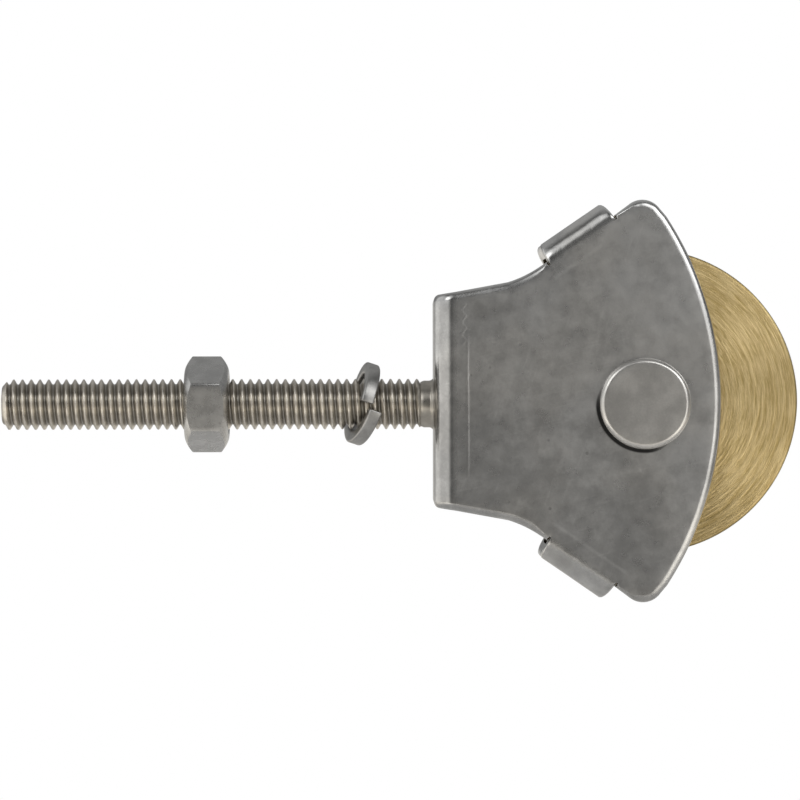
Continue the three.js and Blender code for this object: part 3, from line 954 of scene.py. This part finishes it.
def turned_brass():
    """Brass turned on a lathe: fine rings about the axle, and broken brighter arcs."""
    material, graph = new_material("turned_brass")
    place, x, y, z = millimetres(graph)
    from_x, from_z, radius = about(graph, x, z, AXLE_X, LIFT)
    unit_x = graph.math("DIVIDE", from_x, radius)
    unit_z = graph.math("DIVIDE", from_z, radius)
    rings = graph.noise(graph.combine(graph.math("MULTIPLY", radius, 3.0), 0.3, y), 1.0, 3.0, 0.6)
    spread = graph.combine(
        graph.math("MULTIPLY", unit_x, 2.3), graph.math("MULTIPLY", radius, 1.7),
        graph.math("MULTIPLY", unit_z, 2.3),
    )
    arcs = graph.noise(spread, 1.9, 4.0, 0.7)
    cloud = graph.noise(place, 0.25, 3.0, 0.6)
    tone = graph.math("ADD", arcs, graph.math("MULTIPLY", rings, 0.1))
    tone = graph.math("MULTIPLY_ADD", cloud, 0.3, tone)
    # painted shade: the brass darkens over the outermost 0.3 mm of the rim's radius
    edge = graph.remap(radius, WHEEL_RADIUS - 0.3, WHEEL_RADIUS - 0.1)
    bright = graph.mix(graph.remap(tone, 0.45, 0.9), (0.58, 0.42, 0.165, 1), (0.93, 0.73, 0.385, 1))
    colour = graph.mix(graph.math("MULTIPLY", edge, 0.8), bright, (0.2, 0.15, 0.06, 1))
    roughness = graph.math("MULTIPLY_ADD", arcs, 0.16, 0.25)
    height = graph.math("MULTIPLY_ADD", rings, 0.3, graph.math("MULTIPLY", arcs, 0.95))
    round_axle = graph.put("ShaderNodeTangent", direction_type="RADIAL", axis="Y").outputs[0]
    drawn = {"Anisotropic": 0.82, "Anisotropic Rotation": 0.25}
    shader = finish_metal(graph, colour, roughness, height, 0.7, 0.1, drawn)
    graph.tree.links.new(round_axle, shader.inputs["Tangent"])
    return material


# ---------------------------------------------------------------- studio

# Brightness of the room by height, from straight down at -1 to straight up at 1
FRONT_LEVELS = [
    (-0.9, 0.22), (-0.34, 0.9), (-0.24, 0.26), (-0.1, 0.235),
    (0.06, 0.26), (0.23, 0.09), (0.8, 0.08), (1.0, 0.35),
]
BACK_LEVELS = [(-0.6, 0.3), (-0.15, 0.8), (0.0, 0.6), (0.15, 0.28), (0.6, 0.42), (1.0, 0.42)]

# Soft panels: direction, the angles where the panel is full and where it ends, and its strength
PANELS = [
    ((-1.0, -0.2, -0.05), 40, 58, 0.62),
    ((-0.38, -0.92, 0.0), 5, 17, -0.1),
    ((0.53, -0.82, -0.24), 4, 17, 0.85),
    ((0.52, -0.86, 0.0), 3, 15, 1.05),
    ((0.22, -0.75, 0.63), 6, 15, 2.3),
    ((-0.49, -0.6, 0.62), 6, 22, 0.7),
    ((-0.62, -0.64, 0.45), 5, 17, 1.5),
    ((-0.59, -0.64, -0.49), 8, 26, 0.6),
    ((0.57, -0.64, -0.51), 8, 24, 0.8),
    ((0.62, -0.64, 0.45), 6, 20, 3.0),
]

FLOOR_RADIUS = 150.0
FLOOR_LEVEL = -60.0
FLOOR_FADE = (95.0, 155.0)

CAMERA_TARGET = (-3.77, 0.0, 0.46)
CAMERA_DISTANCE = 450
CAMERA_ROLL = math.radians(-0.1)
SENSOR_WIDTH = 36.0
FOCAL_LENGTH = 3942 / 800 * SENSOR_WIDTH  # 3942 pixels in an image 800 wide


def lobe(graph, direction, toward, inner, outer, strength):
    """A soft bright patch of sky about a direction, with angles in degrees."""
    aim = Vector(toward).normalized()
    dot = graph.put("ShaderNodeVectorMath", {0: direction, 1: aim}, operation="DOT_PRODUCT")
    start, full = math.cos(math.radians(outer)), math.cos(math.radians(inner))
    return graph.remap(dot.outputs["Value"], start, full, 0.0, strength)


def studio():
    """A white room for the camera, which the metal sees as soft panels of different brightness."""
    world = bpy.data.worlds.new("studio")
    world.use_nodes = True
    bpy.context.scene.world = world
    graph = Graph(world.node_tree)
    direction = graph.put("ShaderNodeTexCoord").outputs["Generated"]
    split = graph.put("ShaderNodeSeparateXYZ", {0: direction})
    up = split.outputs[2]
    ahead = graph.ramp(up, FRONT_LEVELS)
    behind = graph.ramp(up, BACK_LEVELS)
    level = graph.mix(graph.remap(split.outputs[1], -0.25, 0.3), ahead, behind)
    for toward, inner, outer, strength in PANELS:
        level = graph.math("ADD", level, lobe(graph, direction, toward, inner, outer, strength))
    warm = graph.remap(up, 0.25, -0.35)
    colour = graph.mix(warm, (1.0, 1.0, 0.985, 1), (1.0, 0.955, 0.87, 1))
    lit = graph.put("ShaderNodeBackground", {"Color": colour, "Strength": level})
    white = graph.put("ShaderNodeBackground", {"Color": (1, 1, 1, 1), "Strength": 1.0})
    seen = graph.put("ShaderNodeLightPath").outputs["Is Camera Ray"]
    both = graph.put("ShaderNodeMixShader", {0: seen, 1: lit.outputs[0], 2: white.outputs[0]})
    graph.put("ShaderNodeOutputWorld", {"Surface": both.outputs[0]})


def floor():
    """A plain pale table that fades out, below a part that is held by its stud."""
    rings, steps = 6, 96
    shape = Shape()
    rows = []
    for i in range(1, rings + 1):
        ring = arc((0, 0), FLOOR_RADIUS * i / rings, 0, TURN, steps)[:-1]
        rows.append(shape.add([(p.x, p.y, FLOOR_LEVEL) for p in ring]))
    shape.skin(rows)
    shape.cap(rows[0])
    mesh = bpy.data.meshes.new("floor")
    mesh.from_pydata([p * MM for p in shape.points], [], shape.faces)
    material, graph = new_material("pale_floor")
    place = millimetres(graph)[0]
    away = graph.put("ShaderNodeVectorMath", {0: place}, operation="LENGTH").outputs["Value"]
    fade = graph.remap(away, *FLOOR_FADE)
    mottle = graph.noise(place, 0.02, 2.0)
    colour = graph.mix(mottle, (0.80, 0.79, 0.775, 1), (0.83, 0.82, 0.805, 1))
    matt = graph.put("ShaderNodeBsdfDiffuse", {"Color": colour})
    glow = graph.put("ShaderNodeEmission", {"Color": (1.0, 0.97, 0.92, 1), "Strength": 0.05})
    lit = graph.put("ShaderNodeAddShader", {0: matt.outputs[0], 1: glow.outputs[0]})
    clear = graph.put("ShaderNodeBsdfTransparent")
    shown = graph.put("ShaderNodeMixShader", {0: fade, 1: lit.outputs[0], 2: clear.outputs[0]})
    graph.put("ShaderNodeOutputMaterial", {"Surface": shown.outputs[0]})
    mesh.materials.append(material)
    table = new_object("floor", mesh)


def panel(name, place, target, size, power):
    """A round area light, with its places and size in metres."""
    light = bpy.data.lights.new(name, "AREA")
    light.shape = "DISK"
    light.size = size
    light.energy = power
    lamp = new_object(name, light)
    lamp.location = place
    lamp.rotation_euler = (Vector(target) - Vector(place)).to_track_quat("-Z", "Y").to_euler()
    return lamp


def camera():
    """The photograph's view: level, square on to the cheek, and close enough for perspective."""
    view = bpy.data.cameras.new("camera")
    view.sensor_width = SENSOR_WIDTH
    view.lens = FOCAL_LENGTH
    view.clip_start = 0.01
    view.clip_end = 20.0
    eye = new_object("camera", view)
    offset = Vector((0, -CAMERA_DISTANCE, 0)) * MM
    eye.location = Vector(CAMERA_TARGET) * MM + offset
    look = (-offset).to_track_quat("-Z", "Y").to_matrix().to_4x4()
    look = look @ Matrix.Rotation(CAMERA_ROLL, 4, "Z")
    eye.rotation_euler = look.to_euler()
    bpy.context.scene.camera = eye


# ---------------------------------------------------------------- the pieces

nut_finish = plain_steel("nut_stainless", 0.41, 0.55, 0.005, 0.27, 0.5)
washer_finish = plain_steel("washer_stainless", 0.30, 0.45, 0.01, 0.36, 0.6)
# the last value sets how dark the painted shade and grime in the thread roots, neck and head are
stud_finish = plain_steel("thread_stainless", 0.48, 0.71, 0.065, 0.3, 0.9, 0.3, 0.6)
rivet_finish = plain_steel("rivet_stainless", 0.54, 0.72, 0.02, 0.3, 0.3)
sleeve_finish = plain_steel("sleeve_stainless", 0.42, 0.56, 0.0, 0.3, 0.4)

make("bracket_sheet", bracket(), "bracket", "frame", sheet_steel(), 34)
make("axle_rivet_piece", rivet(), "bracket", "axle_rivet", rivet_finish)
make("axle_sleeve_piece", sleeve(), "bracket", "axle_sleeve", sleeve_finish)
make("stud_piece", stud(), "bracket", "stud_bolt", stud_finish, 50)
make("sheave_piece", sheave(), "wheel", "sheave", turned_brass())
make("nut_piece", nut(), "nut", "hex_nut", nut_finish)
make("washer_piece", lock_washer(), "washer", "lock_washer", washer_finish)

floor()
studio()
panel("top_panel", (0.1, 0.35, 0.6), (0.0, 0.05, -0.06), 0.5, 1.0).visible_glossy = False
camera()
bpy.context.scene.view_settings.view_transform = "Standard"
